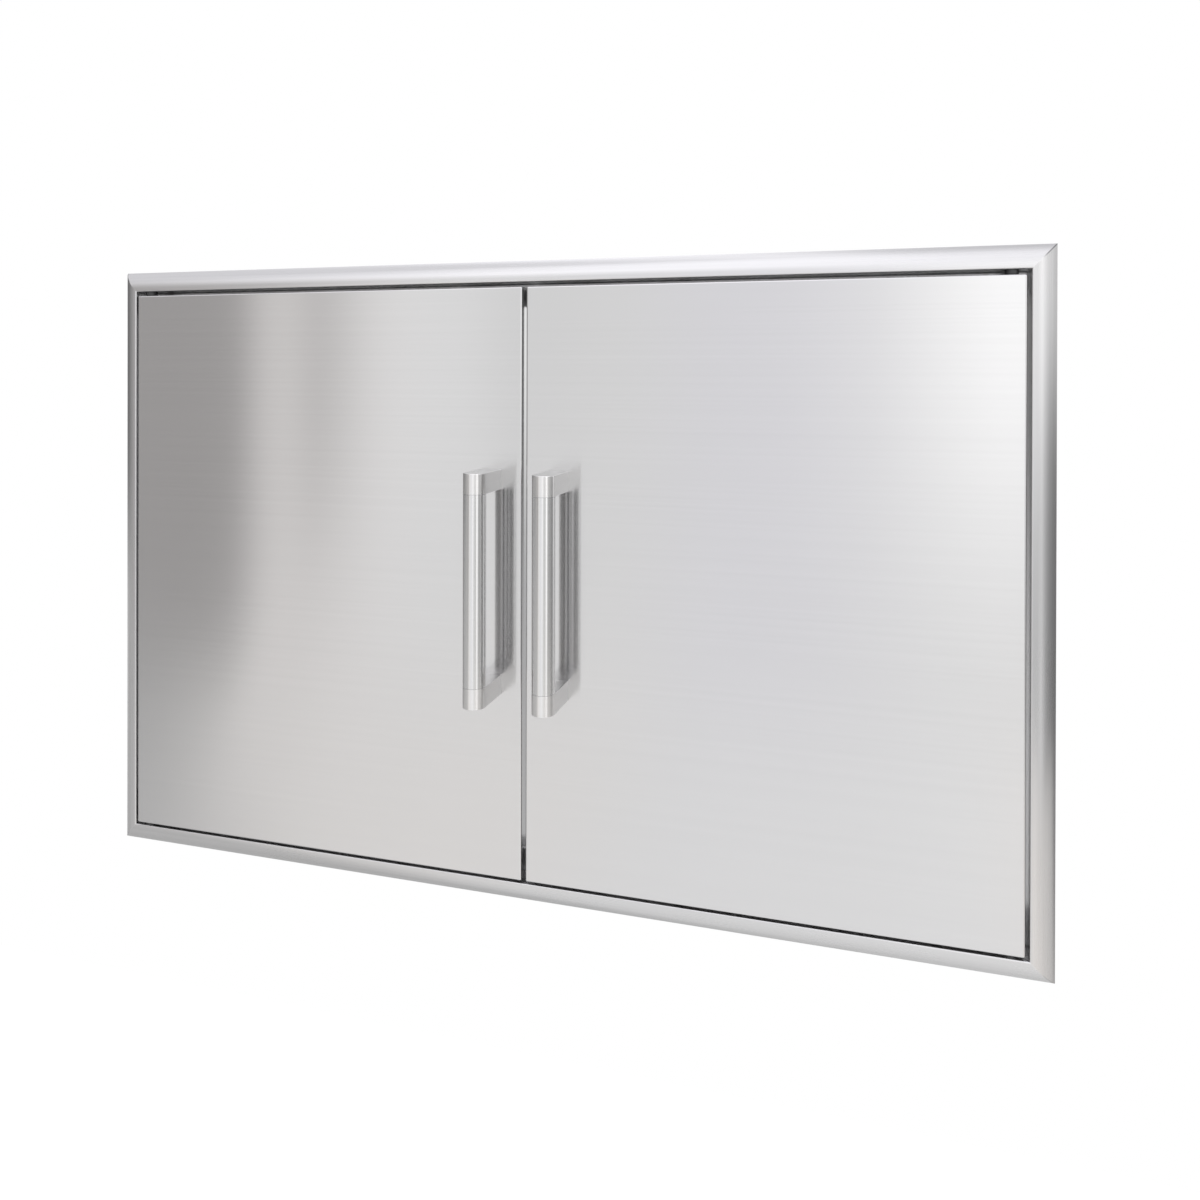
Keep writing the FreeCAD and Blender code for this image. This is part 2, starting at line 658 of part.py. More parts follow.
def door_skin(side):
    """The front panel, a pan folded back on all four sides."""
    body = new_body(SIDE_NAMES[side] + "_door_skin")
    face = new_sketch(body, "face", "XZ", "-door_back")
    rectangle(face, signed(side, "door_inner"), signed(side, "door_outer"),
              door_edge(BOTTOM), door_edge(TOP))
    pad(body, face, "door_thickness")
    soften(body, "Fillet", "skin_edge",
           lambda edge: lies_at(edge, "Y", number("door_front"))
           or runs_back(edge, number("door_thickness")))
    inside = new_sketch(body, "inside", "XZ", "-door_back")
    rectangle(inside, signed(side, "(door_inner + skin_sheet)"),
              signed(side, "(door_outer - skin_sheet)"),
              door_edge(BOTTOM, "skin_sheet"), door_edge(TOP, "skin_sheet"))
    pocket(body, inside, "door_thickness - skin_sheet", forward=True)
    soften(body, "Fillet", "(skin_edge - skin_sheet)",
           lambda edge: lies_at(edge, "Y", number("skin_inside"))
           or runs_back(edge, number("door_thickness - skin_sheet")), "_inside")
    holes = new_sketch(body, "handle_holes", "XZ")
    for end in (BOTTOM, TOP):
        circle(holes, signed(side, "handle_offset"), handle_screw_height(end),
               "(handle_screw / 2 + hole_clearance)")
    pocket(body, holes, symmetric=True)
    pivot_holes = new_sketch(body, "pivot_holes", "XY")
    circle(pivot_holes, signed(side, "pivot_x"), "pivot_y", "bush_radius")
    pocket(body, pivot_holes, symmetric=True)


def handle_screw_height(end):
    """Formula for Z of a handle screw."""
    return "(handle_height + %s)" % signed(end, "handle_screw_z")


def door_liner(side):
    """The back panel, a shallow pan let in between the walls of the front panel."""
    body = new_body(SIDE_NAMES[side] + "_door_liner")
    edge_gap = "(skin_sheet + liner_clearance)"
    flange = "(%s + liner_sheet)" % edge_gap
    face = new_sketch(body, "face", "XZ", "-door_back")
    rectangle(face, signed(side, "(door_inner + %s)" % edge_gap),
              signed(side, "(door_outer - %s)" % edge_gap),
              door_edge(BOTTOM, edge_gap), door_edge(TOP, edge_gap))
    pad(body, face, "liner_flange")
    soften(body, "Fillet", "liner_edge",
           lambda edge: lies_at(edge, "Y", number("door_back"))
           or runs_back(edge, number("liner_flange")))
    inside = new_sketch(body, "inside", "XZ", "-liner_front")
    rectangle(inside, signed(side, "(door_inner + %s)" % flange),
              signed(side, "(door_outer - %s)" % flange),
              door_edge(BOTTOM, flange), door_edge(TOP, flange))
    pocket(body, inside, forward=True)
    soften(body, "Fillet", "(liner_edge - liner_sheet)",
           lambda edge: lies_at(edge, "Y", number("liner_front"))
           or runs_back(edge, number("liner_flange - liner_sheet")), "_inside")
    notches = new_sketch(body, "pivot_notches", "XZ", "-liner_front")
    for end in (BOTTOM, TOP):
        rectangle(notches, signed(side, "(pivot_x - block_half - liner_clearance)"),
                  signed(side, "door_outer"),
                  door_edge(end, "(skin_sheet + pivot_block_height + liner_clearance)"),
                  door_edge(end))
    pocket(body, notches, forward=True)
    holes = new_sketch(body, "handle_holes", "XZ")
    for end in (BOTTOM, TOP):
        circle(holes, signed(side, "handle_offset"), handle_screw_height(end),
               "(handle_screw / 2 + hole_clearance)")
    pocket(body, holes, symmetric=True)


def pivot_block(side, end):
    """A block in the corner of the door, and the flanged bush pressed into it.

    Both are drawn on the pivot's axis, above the bottom jamb.
    """
    name = "%s_door_%s_" % (SIDE_NAMES[side], END_NAMES[end])
    gap = END_GAPS[end]
    angle = 180 if end == TOP else 0
    spot = (signed(side, "pivot_x"), "pivot_y", signed(end, "open_z"))

    block = new_body(name + "pivot_block")
    face = new_sketch(block, "face", "XY", "(%s + skin_sheet)" % gap)
    rectangle(face, "-block_half", "block_half", "(skin_sheet - door_thickness / 2)",
              "(door_thickness / 2 - liner_sheet)")
    circle(face, "0", "0", "bush_radius")
    pad(block, face, "pivot_block_height")
    soften(block, "Chamfer", "block_edge", is_straight)
    place(block, *spot, angle=angle)

    bush = new_body(name + "pivot_bush")
    sleeve = new_sketch(bush, "sleeve", "XY", gap)
    circle(sleeve, "0", "0", "bush_radius")
    circle(sleeve, "0", "0", "bush_bore")
    pad(bush, sleeve, "bush_depth")
    flange = new_sketch(bush, "flange", "XY", gap)
    circle(flange, "0", "0", "bush_flange_radius")
    circle(flange, "0", "0", "bush_bore")
    pad(bush, flange, "bush_flange_thick", back=True)
    place(bush, *spot, angle=angle)


def strike_plate(side):
    """The steel plate that the magnet holds, and its two rivets."""
    plate = new_body(SIDE_NAMES[side] + "_strike_plate")
    face = new_sketch(plate, "face", "XZ", "-door_back")
    rectangle(face, "-strike_half", "strike_half",
              "-(strike_height / 2)", "(strike_height / 2)")
    pad(plate, face, "strike_thick", back=True)
    soften(plate, "Fillet", "catch_round",
           lambda edge: runs_back(edge, number("strike_thick")))
    place(plate, x=signed(side, "catch_offset"), z="catch_z")

    rivets = new_body(SIDE_NAMES[side] + "_strike_rivets")
    heads = new_sketch(rivets, "heads", "XZ", "-pole_front")
    for sign in ("-", ""):
        circle(heads, sign + "rivet_x", "0", "(rivet_head / 2)")
    pad(rivets, heads, "rivet_head_high", back=True)
    soften(rivets, "Chamfer", "rivet_head_edge",
           lambda edge: lies_at(edge, "Y", number("pole_front + rivet_head_high")))
    cores = new_sketch(rivets, "cores", "XZ", "-(pole_front + rivet_head_high)")
    for sign in ("-", ""):
        circle(cores, sign + "rivet_x", "0", "(rivet_core / 2)")
    pocket(rivets, cores, "rivet_core_depth", forward=True)
    place(rivets, x=signed(side, "catch_offset"), z="catch_z")


def handle_tube(side):
    """The round grip tube between the two brackets."""
    body = new_body(SIDE_NAMES[side] + "_handle_tube")
    ring = new_sketch(body, "ring", "XY")
    circle(ring, "0", "0", "tube_radius")
    circle(ring, "0", "0", "(tube_radius - tube_wall)")
    pad(body, ring, "2 * tube_half", symmetric=True)
    soften(body, "Chamfer", "joint_edge",
           lambda edge: round_at(edge, number("tube_radius"))
           and edge.BoundBox.ZLength < CLOSE)
    place(body, x=signed(side, "handle_offset"), y="handle_y", z="handle_height")


def handle_bracket(side, end):
    """One end of a handle: a round cap and a leg to the door in one piece.

    It is drawn as a top bracket, on the tube's axis, with its joint at zero.
    """
    body = new_body("%s_handle_%s_bracket" % (SIDE_NAMES[side], END_NAMES[end]))
    cap = new_sketch(body, "cap", "XY")
    outline(cap, [
        ("-tube_radius", "0", "0", "0"),
        ("tube_radius", "0"),
        ("tube_radius", "handle_standoff"),
        ("-tube_radius", "handle_standoff"),
    ])
    pad(body, cap, "cap_height")
    soften(body, "Fillet", "cap_edge",
           lambda edge: lies_at(edge, "Z", number("cap_height"))
           and not lies_at(edge, "Y", number("handle_standoff")))
    spigot = new_sketch(body, "spigot", "XY")
    circle(spigot, "0", "0", "spigot_radius")
    pad(body, spigot, "spigot_length", back=True)
    hole = new_sketch(body, "screw_hole", "XZ", "-handle_standoff")
    circle(hole, "0", "(cap_height / 2)", "(handle_screw / 2)")
    pocket(body, hole, "handle_screw_grip + handle_hole_end", forward=True)
    place(body, x=signed(side, "handle_offset"), y="handle_y",
          z="(handle_height + %s)" % signed(end, "tube_half"),
          angle=0 if end == TOP else 180)


def handle_fixings(side):
    """The two screws from the back of the door, and the spacers on them."""
    screws = new_body(SIDE_NAMES[side] + "_handle_screws")
    shanks = new_sketch(screws, "shanks", "XZ", "-door_back")
    heads = new_sketch(screws, "heads", "XZ", "-door_back")
    for end in (BOTTOM, TOP):
        circle(shanks, "0", handle_screw_height(end), "(handle_screw / 2)")
        circle(heads, "0", handle_screw_height(end), "(handle_screw_head / 2)")
    pad(screws, shanks, "door_thickness + handle_screw_grip")
    pad(screws, heads, "handle_head_high", back=True)
    soften(screws, "Chamfer", "handle_head_edge",
           lambda edge: lies_at(edge, "Y", number("door_back + handle_head_high")))
    sockets = new_sketch(screws, "sockets", "XZ", "-(door_back + handle_head_high)")
    for end in (BOTTOM, TOP):
        hexagon(sockets, "0", handle_screw_height(end), "handle_socket")
    pocket(screws, sockets, "handle_socket_depth", forward=True)
    place(screws, x=signed(side, "handle_offset"))

    spacers = new_body(SIDE_NAMES[side] + "_handle_spacers")
    rings = new_sketch(spacers, "rings", "XZ", "-liner_front")
    for end in (BOTTOM, TOP):
        circle(rings, "0", handle_screw_height(end), "(spacer_diameter / 2)")
        circle(rings, "0", handle_screw_height(end), "(handle_screw / 2 + hole_clearance)")
    pad(spacers, rings, "core_depth")
    place(spacers, x=signed(side, "handle_offset"))


# Assembly

HALF_WIDTH = "(frame_width / 2)"
HALF_HEIGHT = "(frame_height / 2)"
RAIL_HOLE = "(open_x - mount_end_rail)"
SIDE_HOLE = "(open_z - mount_end_side)"
frame_member("frame_top", 0, HALF_HEIGHT, HALF_WIDTH, RAIL_HOLE)
frame_member("frame_right", 90, HALF_WIDTH, HALF_HEIGHT, SIDE_HOLE)
frame_member("frame_bottom", 180, HALF_HEIGHT, HALF_WIDTH, RAIL_HOLE)
frame_member("frame_left", 270, HALF_WIDTH, HALF_HEIGHT, SIDE_HOLE)
drill_frame("frame_top", hinge_spots() + catch_spots())
drill_frame("frame_bottom", hinge_spots())
door_stop("door_stop_top", 0, with_windows=True)
door_stop("door_stop_bottom", 180, with_windows=False)
for end in (BOTTOM, TOP):
    bumpers("bumpers_" + END_NAMES[end], end)
    hinge_screws("hinge_screws_" + END_NAMES[end], end)
catch_screws()
for side in (LEFT, RIGHT):
    magnetic_catch(side)
    door_skin(side)
    door_liner(side)
    strike_plate(side)
    handle_tube(side)
    handle_fixings(side)
    for end in (BOTTOM, TOP):
        hinge_set(side, end)
        pivot_block(side, end)
        handle_bracket(side, end)
doc.recompute()

# Every object must be sound before anything is written
for thing in doc.Objects:
    if "Invalid" in thing.State or "Error" in thing.State:
        raise RuntimeError(thing.Label + " failed: " + ", ".join(thing.State))
for part in PARTS:
    if part.Shape.isNull() or not part.Shape.isValid() or not part.Shape.Solids:
        raise RuntimeError(part.Label + " has no sound solid")

os.makedirs("parts", exist_ok=True)
for part in PARTS:
    part.Shape.exportStep(os.path.join("parts", part.Label + ".step"))
    print("%-32s %2d solid(s) %12.1f mm3" % (part.Label, len(part.Shape.Solids), part.Shape.Volume))
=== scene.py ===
import math

import bpy
from mathutils import Euler, Matrix, Vector


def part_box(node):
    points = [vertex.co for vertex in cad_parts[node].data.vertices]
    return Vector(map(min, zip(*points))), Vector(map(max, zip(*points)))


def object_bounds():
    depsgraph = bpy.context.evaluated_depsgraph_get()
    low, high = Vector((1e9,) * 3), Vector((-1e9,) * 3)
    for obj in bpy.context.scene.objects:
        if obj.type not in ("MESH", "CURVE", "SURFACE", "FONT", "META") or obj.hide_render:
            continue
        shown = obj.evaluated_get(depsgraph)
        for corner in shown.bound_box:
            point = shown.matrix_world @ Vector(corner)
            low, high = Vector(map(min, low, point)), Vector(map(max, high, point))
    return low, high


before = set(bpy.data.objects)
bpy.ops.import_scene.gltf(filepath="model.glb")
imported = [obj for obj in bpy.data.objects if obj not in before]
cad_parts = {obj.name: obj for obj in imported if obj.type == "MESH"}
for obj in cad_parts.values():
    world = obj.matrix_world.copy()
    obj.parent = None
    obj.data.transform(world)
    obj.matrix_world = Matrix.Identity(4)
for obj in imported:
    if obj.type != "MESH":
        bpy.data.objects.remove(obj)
cad_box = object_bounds()

MM = 0.001
DEG = math.pi / 180

# Camera: where the photograph was taken from, as fitted to the edges of the doors and the trim
CAMERA_PLACE = (0.2855, -0.7812, 0.1759)
CAMERA_LENS = 28.944
CAMERA_SENSOR = 36.0
CAMERA_YAW = 15.868 * DEG
CAMERA_PITCH = 0.181 * DEG
CAMERA_ROLL = 0.121 * DEG
PHOTO_SIZE = 1200
CENTRE_ROW = 379.15

# Studio: the brightness that the metal sees at three heights, by direction in degrees from
# straight in front, positive to the right. The sides are dark screens, the right front is a
# bright panel that fades downward, and a ceiling panel hangs overhead.
WHITE = 1.0
LOW_LEVELS = (
    (-180, 0.45), (-173, 0.45), (-162, 0.90), (-110, 0.86), (-75, 0.58), (-56, 0.56),
    (-46, 0.44), (-36.4, 0.41), (-35.6, 0.92), (-28, 1.00), (0, 1.00), (9, 1.02),
    (12, 0.68), (36, 0.50), (43, 1.22), (53, 1.22), (58, 0.42), (75, 0.31),
    (100, 0.23), (140, 0.18), (150, 0.55), (166, 0.55), (174, 0.45), (180, 0.45),
)
EYE_LEVELS = (
    (-180, 0.45), (-150, 0.20), (-110, 0.13), (-75, 0.26), (-56, 0.50), (-46, 0.46),
    (-39, 0.46), (-36.4, 0.48), (-35.6, 0.88), (-33.6, 0.86), (-32.6, 0.66), (-31.6, 0.66),
    (-30.4, 0.93), (-28, 1.06), (-24, 1.04), (-21, 0.94), (-5, 1.03), (0, 1.14),
    (7, 1.52), (12, 1.44), (20, 1.10), (36, 1.00), (43, 1.85), (53, 1.85),
    (60, 1.06), (95, 0.96), (138, 0.66), (150, 1.10), (166, 1.10), (174, 0.45),
    (180, 0.45),
)
OVERHEAD_LEVELS = (
    (-180, 0.96), (-167, 1.34), (-152, 1.60), (-140, 1.30), (-125, 1.02), (-75, 0.92),
    (-66, 0.94), (-61, 0.99), (-56, 1.18), (-48, 1.50), (-40, 1.58), (-22, 1.62),
    (0, 1.50), (17, 1.36), (36, 1.34), (44, 1.78), (56, 1.78), (66, 1.20),
    (150, 0.82), (168, 0.80), (180, 0.96),
)
STUDIO_GAIN = 2.0

# Tint of the light that the metal sees, by the same directions: a little warm at the left and a
# little cool in the middle. The ceiling panel is cool all over.
NEUTRAL = (1.0, 1.0, 1.0)
WARM = (1.035, 1.005, 0.99)
COOL = (0.985, 0.98, 1.015)
TINTS = (
    (-180, NEUTRAL), (-90, NEUTRAL), (-50, WARM), (-33, WARM), (-26, NEUTRAL), (-15, NEUTRAL),
    (-9, COOL), (-4, COOL), (4, NEUTRAL), (180, NEUTRAL),
)

# Heights are the upward part of a direction. The low levels give way to the eye levels between
# the first two, which lie higher toward the right, and those to the ceiling panel between the last.
LOW_HEIGHT = -0.25
EYE_HEIGHT = -0.05
LEAN_RIGHT = 0.15
BELOW_PANEL_HEIGHT = 0.35
PANEL_HEIGHT = 0.70

# Brightness of the room for everything but mirrored light
ROOM_LIGHT = 0.80

# Floor, below the door. Its right edge runs in toward the front.
FLOOR_DROP = 0.62
FLOOR_LEFT = -4.3
FLOOR_RIGHT = 2.6
FLOOR_RIGHT_IN_FRONT = 1.2
FLOOR_SLANT_END = -0.2
FLOOR_FRONT = -2.2
FLOOR_BACK = 0.65
FLOOR_COLOUR = (0.55, 0.55, 0.55, 1.0)
FLOOR_ROUGHNESS = 0.9
FLOOR_GLOW = 0.55

# Pool of light on the floor, seen by the metal only. It fades in from the left along a slant,
# and out to the right and to the back.
POOL_GLOW = 0.40
POOL_GLOW_OUTSIDE = 0.08
POOL_SLANT = 0.93
POOL_LEFT = (-0.35, 0.15)
POOL_RIGHT = (0.8, 1.6)
POOL_RIGHT_SHARE = 0.5
POOL_BACK = (-0.5, 0.5)
POOL_BACK_SHARE = 0.45

# The pool is warm at its sides
WARM_FLOOR = (1.12, 1.0, 0.88)
WARM_FLOOR_RIGHT = (0.4, 0.9)
WARM_FLOOR_LEFT = (-0.15, -0.55)
WARM_FLOOR_LEFT_SHARE = 0.45

# Key lamp: a large soft panel above the camera, to the right
KEY_PLACE = (1.6, -2.4, 1.9)
KEY_SIZE = 1.8
KEY_POWER = 60.0

# Stainless steel: its colours, and how much of the edge colour a sharp edge takes
STEEL = (0.655, 0.652, 0.656)
STEEL_EDGE = (0.78, 0.78, 0.79)
# The handle tube and its caps take paler copies of the same steel: a painted highlight, standing in
# for more light on the handles.
TUBE_STEEL_LIT = (0.735, 0.735, 0.735)
CAP_STEEL_LIT = (0.775, 0.77, 0.765)
STEEL_EDGE_SHARE = 0.6
EDGE_RADIUS = 0.5 * MM
EDGE_SAMPLES = 4
EDGE_COSINES = (0.999, 0.90)

# Brushing: waves a metre along the grain and across it
FINE_GRAIN = (14.0, 2600.0)
FINE_RANGE = (0.2, 0.8)
FINE_HAZE = (-0.01, 0.01)
STREAK_GRAIN = (1.6, 420.0)
STREAK_RANGE = (0.25, 0.75)

# Smudges on brushed steel
SMUDGE_SCALE = 5.0
SMUDGE_RANGE = (0.3, 0.7)
SMUDGE_TONE = (0.993, 1.007)
SMUDGE_HAZE = (0.94, 1.06)

# The mitre seam is a dark line and groove on the outer part of the trim, fainter on the lower
# corners: partly a real joint, partly a painted dark reflection
SEAM_HALF_WIDTH = 1.0 * MM
SEAM_FADE = (7.2 * MM, 12.0 * MM)
SEAM_SHARE_BELOW = 0.35
SEAM_AND_REFLECTION_COLOUR = (0.06, 0.06, 0.063)
SEAM_COVER = 0.85
SEAM_DEPTH = 6.0

# Each handle tube ends in a fine dark joint against its two caps
JOINT_FADE = (0.5 * MM, 0.25 * MM)
JOINT_SHARE = 0.32

# Hardware with no brushing direction
SATIN_EDGE_RADIUS = 0.25 * MM
SATIN_EDGE_SHARE = 0.5
MOTTLE_SCALE = 90.0
MOTTLE_RANGE = (0.35, 0.65)
SPECKLE_RANGE = (0.3, 0.7)
SPECKLE_HAZE = (0.8, 1.2)

# Moulded pieces, with patches of dust and paler edges
MOULDED_EDGE_RADIUS = 0.3 * MM
MOULDED_EDGE_SHARE = 0.35
DUST_SCALE = 70.0
DUST_RANGE = (0.4, 0.75)
DUST_SHARE = 0.6
SKIN_RANGE = (0.3, 0.7)
SKIN_HAZE = 0.06


def material(name):
    """A new material that holds one shader, with its node tree and that shader."""
    made = bpy.data.materials.new(name)
    made.use_nodes = True
    tree = made.node_tree
    return made, tree, tree.nodes["Principled BSDF"]


def add(tree, kind, inputs=None, **settings):
    """A new node, with its settings and the numbers on its inputs."""
    made = tree.nodes.new(kind)
    for name, value in settings.items():
        setattr(made, name, value)
    for name, value in (inputs or {}).items():
        made.inputs[name].default_value = value
    return made


def join(tree, output, target):
    """Link an output to an input."""
    tree.links.new(output, target)


def maths(tree, operation, first, second=None):
    """The result of one operation on outputs or numbers."""
    made = add(tree, "ShaderNodeMath", operation=operation)
    for place, value in enumerate((first, second)):
        if value is None:
            continue
        if isinstance(value, (int, float)):
            made.inputs[place].default_value = value
        else:
            join(tree, value, made.inputs[place])
    return made.outputs[0]


def spread(tree, value, low, high, to_low, to_high, smooth=False):
    """Value's range from low to high, carried over to another range."""
    limits = {"From Min": low, "From Max": high, "To Min": to_low, "To Max": to_high}
    made = add(tree, "ShaderNodeMapRange", limits)
    made.interpolation_type = "SMOOTHSTEP" if smooth else "LINEAR"
    join(tree, value, made.inputs["Value"])
    return made.outputs["Result"]


def between(tree, share, first, second):
    """A number: first where share is 0, second where it is 1."""
    made = add(tree, "ShaderNodeMix", data_type="FLOAT")
    for name, value in (("Factor", share), ("A", first), ("B", second)):
        join(tree, value, next(s for s in made.inputs if s.name == name and s.type == "VALUE"))
    return made.outputs["Result"]


def blend_colour(tree, share, first, second):
    """A colour: first where share is 0, second where it is 1."""
    made = add(tree, "ShaderNodeMix", data_type="RGBA")
    join(tree, share, made.inputs["Factor"])
    for name, value in (("A", first), ("B", second)):
        socket = next(s for s in made.inputs if s.name == name and s.type == "RGBA")
        if isinstance(value, tuple):
            socket.default_value = (*value, 1.0)
        else:
            join(tree, value, socket)
    return next(s for s in made.outputs if s.type == "RGBA")


def scaled(tree, vector, factor):
    """A colour or a vector times a number. Each is an output or a value."""
    made = add(tree, "ShaderNodeVectorMath", operation="SCALE")
    for value, socket in ((vector, made.inputs[0]), (factor, made.inputs["Scale"])):
        if isinstance(value, (tuple, float)):
            socket.default_value = value
        else:
            join(tree, value, socket)
    return made.outputs[0]


def coordinates(tree, kind):
    """X, Y and Z of one kind of texture coordinates."""
    place = add(tree, "ShaderNodeTexCoord")
    parts = add(tree, "ShaderNodeSeparateXYZ")
    join(tree, place.outputs[kind], parts.inputs["Vector"])
    return parts.outputs["X"], parts.outputs["Y"], parts.outputs["Z"]


def surface_noise(tree, scale, detail=2.0, rough=0.5):
    """Noise in the piece's own frame. Scale is in waves a metre along X, Y and Z."""
    place = add(tree, "ShaderNodeTexCoord")
    mapping = add(tree, "ShaderNodeMapping", {"Scale": scale})
    noise = add(tree, "ShaderNodeTexNoise", {"Scale": 1.0, "Detail": detail, "Roughness": rough})
    join(tree, place.outputs["Object"], mapping.inputs["Vector"])
    join(tree, mapping.outputs["Vector"], noise.inputs["Vector"])
    return noise.outputs["Fac"]


def edge_share(tree, radius):
    """Near 1 on sharp edges and near 0 on flat faces."""
    rounded = add(tree, "ShaderNodeBevel", {"Radius": radius}, samples=EDGE_SAMPLES)
    true = add(tree, "ShaderNodeNewGeometry")
    turn = add(tree, "ShaderNodeVectorMath", operation="DOT_PRODUCT")
    join(tree, rounded.outputs["Normal"], turn.inputs[0])
    join(tree, true.outputs["Normal"], turn.inputs[1])
    return spread(tree, turn.outputs["Value"], *EDGE_COSINES, 0.0, 1.0)


def raise_surface(tree, shader, height, depth):
    """Let the light see a height field of the given depth in metres."""
    bump = add(tree, "ShaderNodeBump", {"Strength": 1.0, "Distance": depth})
    join(tree, height, bump.inputs["Height"])
    join(tree, bump.outputs["Normal"], shader.inputs["Normal"])


def grain_scale(axes, along, across):
    """Waves a metre for a grain that runs along one axis, or round a bar along two."""
    return tuple(along if name in axes else across for name in "XYZ")


def body_direction(tree, axis):
    """One axis of the piece's own frame, as it stands in the scene."""
    vector = tuple(1.0 if name == axis else 0.0 for name in "XYZ")
    turned = add(
        tree,
        "ShaderNodeVectorTransform",
        {"Vector": vector},
        vector_type="VECTOR",
        convert_from="OBJECT",
        convert_to="WORLD",
    )
    return turned.outputs["Vector"]


def brushed_steel(name, grain, across, roughness, gloss_spread, streaks, depth,
                  colour=STEEL, seam_of=None):
    """Stainless steel brushed along the axis grain. Its reflections spread along the axis across.

    Streaks is how far the long streaks change the tone. Depth is the brushing's, in metres.
    Seam_of draws the dark line where the piece meets its neighbour; on the trims that line is partly
    a painted dark reflection.
    """
    made, tree, shader = material(name)
    shader.inputs["Metallic"].default_value = 1.0
    shader.inputs["Anisotropic"].default_value = gloss_spread
    join(tree, body_direction(tree, across), shader.inputs["Tangent"])

    fine = surface_noise(tree, grain_scale(grain, *FINE_GRAIN), 3.0)
    long_streaks = surface_noise(tree, grain_scale(grain, *STREAK_GRAIN), 2.0)
    smudges = surface_noise(tree, (SMUDGE_SCALE,) * 3, 3.0, 0.6)

    tone = spread(tree, long_streaks, *STREAK_RANGE, 1 - streaks, 1 + streaks)
    tone = maths(tree, "MULTIPLY", tone, spread(tree, smudges, *SMUDGE_RANGE, *SMUDGE_TONE))
    edges = maths(tree, "MULTIPLY", edge_share(tree, EDGE_RADIUS), STEEL_EDGE_SHARE)
    surface = blend_colour(tree, edges, scaled(tree, colour, tone), STEEL_EDGE)
    height = fine
    # The seam's dark line; on the trims it is partly a painted dark reflection.
    if seam_of:
        seam = seam_of(tree)
        surface = blend_colour(tree, maths(tree, "MULTIPLY", seam, SEAM_COVER), surface, SEAM_AND_REFLECTION_COLOUR)
        height = maths(tree, "SUBTRACT", height, maths(tree, "MULTIPLY", seam, SEAM_DEPTH))
    join(tree, surface, shader.inputs["Base Color"])

    haze = spread(tree, smudges, *SMUDGE_RANGE, *(roughness * share for share in SMUDGE_HAZE))
    haze = maths(tree, "ADD", haze, spread(tree, fine, *FINE_RANGE, *FINE_HAZE))
    join(tree, haze, shader.inputs["Roughness"])
    raise_surface(tree, shader, height, depth)
    return made


def mitre_seam_and_reflection(tree):
    """1 on the line where two trims meet, in the outer part of the trim's width, weaker on the lower
    corners, else 0. The line is partly a real joint and partly a painted dark reflection.
    """
    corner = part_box("frame_top")[1]
    x, _, z = coordinates(tree, "Object")
    sideways = maths(tree, "SUBTRACT", corner.x, maths(tree, "ABSOLUTE", x))
    upright = maths(tree, "SUBTRACT", corner.z, maths(tree, "ABSOLUTE", z))
    off_line = maths(tree, "ABSOLUTE", maths(tree, "SUBTRACT", sideways, upright))
    line = spread(tree, off_line, 0.0, SEAM_HALF_WIDTH, 1.0, 0.0)
    outer = spread(tree, sideways, *SEAM_FADE, 1.0, 0.0, smooth=True)
    share = spread(tree, maths(tree, "GREATER_THAN", z, 0.0), 0.0, 1.0, SEAM_SHARE_BELOW, 1.0)
    return maths(tree, "MULTIPLY", maths(tree, "MULTIPLY", line, outer), share)


def tube_joints(tree):
    """The joint's share at both ends of a handle tube, else 0."""
    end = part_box("left_handle_tube")[1].z
    _, _, z = coordinates(tree, "Object")
    outer, inner = (end - reach for reach in JOINT_FADE)
    return spread(tree, maths(tree, "ABSOLUTE", z), outer, inner, 0.0, JOINT_SHARE)


def satin_metal(name, colour, roughness, mottle, speckle, depth):
    """Metal with no brushing direction, such as turned or plated hardware.

    Mottle is how much darker its patches are. Speckle is in waves a metre, depth in metres.
    """
    made, tree, shader = material(name)
    shader.inputs["Metallic"].default_value = 1.0
    patches = surface_noise(tree, (MOTTLE_SCALE,) * 3, 4.0, 0.6)
    specks = surface_noise(tree, (speckle,) * 3, 2.0)
    darker = tuple(level * (1 - mottle) for level in colour)
    mixed = blend_colour(tree, spread(tree, patches, *MOTTLE_RANGE, 0.0, 1.0), colour, darker)
    edges = maths(tree, "MULTIPLY", edge_share(tree, SATIN_EDGE_RADIUS), SATIN_EDGE_SHARE)
    join(tree, blend_colour(tree, edges, mixed, STEEL_EDGE), shader.inputs["Base Color"])
    haze = spread(tree, specks, *SPECKLE_RANGE, *(roughness * share for share in SPECKLE_HAZE))
    join(tree, haze, shader.inputs["Roughness"])
    raise_surface(tree, shader, specks, depth)
    return made


def moulded(name, colour, roughness, grain, depth, dust):
    """Moulded or sintered material with a fine skin and a little dust in patches.

    Grain is in waves a metre, depth in metres. Dust is how much paler the dust is.
    """
    made, tree, shader = material(name)
    skin = surface_noise(tree, (grain,) * 3, 3.0, 0.6)
    patches = surface_noise(tree, (DUST_SCALE,) * 3, 3.0)
    paler = tuple(min(1.0, level + dust) for level in colour)
    mixed = blend_colour(tree, spread(tree, patches, *DUST_RANGE, 0.0, DUST_SHARE), colour, paler)
    edges = maths(tree, "MULTIPLY", edge_share(tree, MOULDED_EDGE_RADIUS), MOULDED_EDGE_SHARE)
    join(tree, blend_colour(tree, edges, mixed, paler), shader.inputs["Base Color"])
    haze = spread(tree, skin, *SKIN_RANGE, roughness - SKIN_HAZE, roughness + SKIN_HAZE)
    join(tree, haze, shader.inputs["Roughness"])
    raise_surface(tree, shader, skin, depth)
    return made


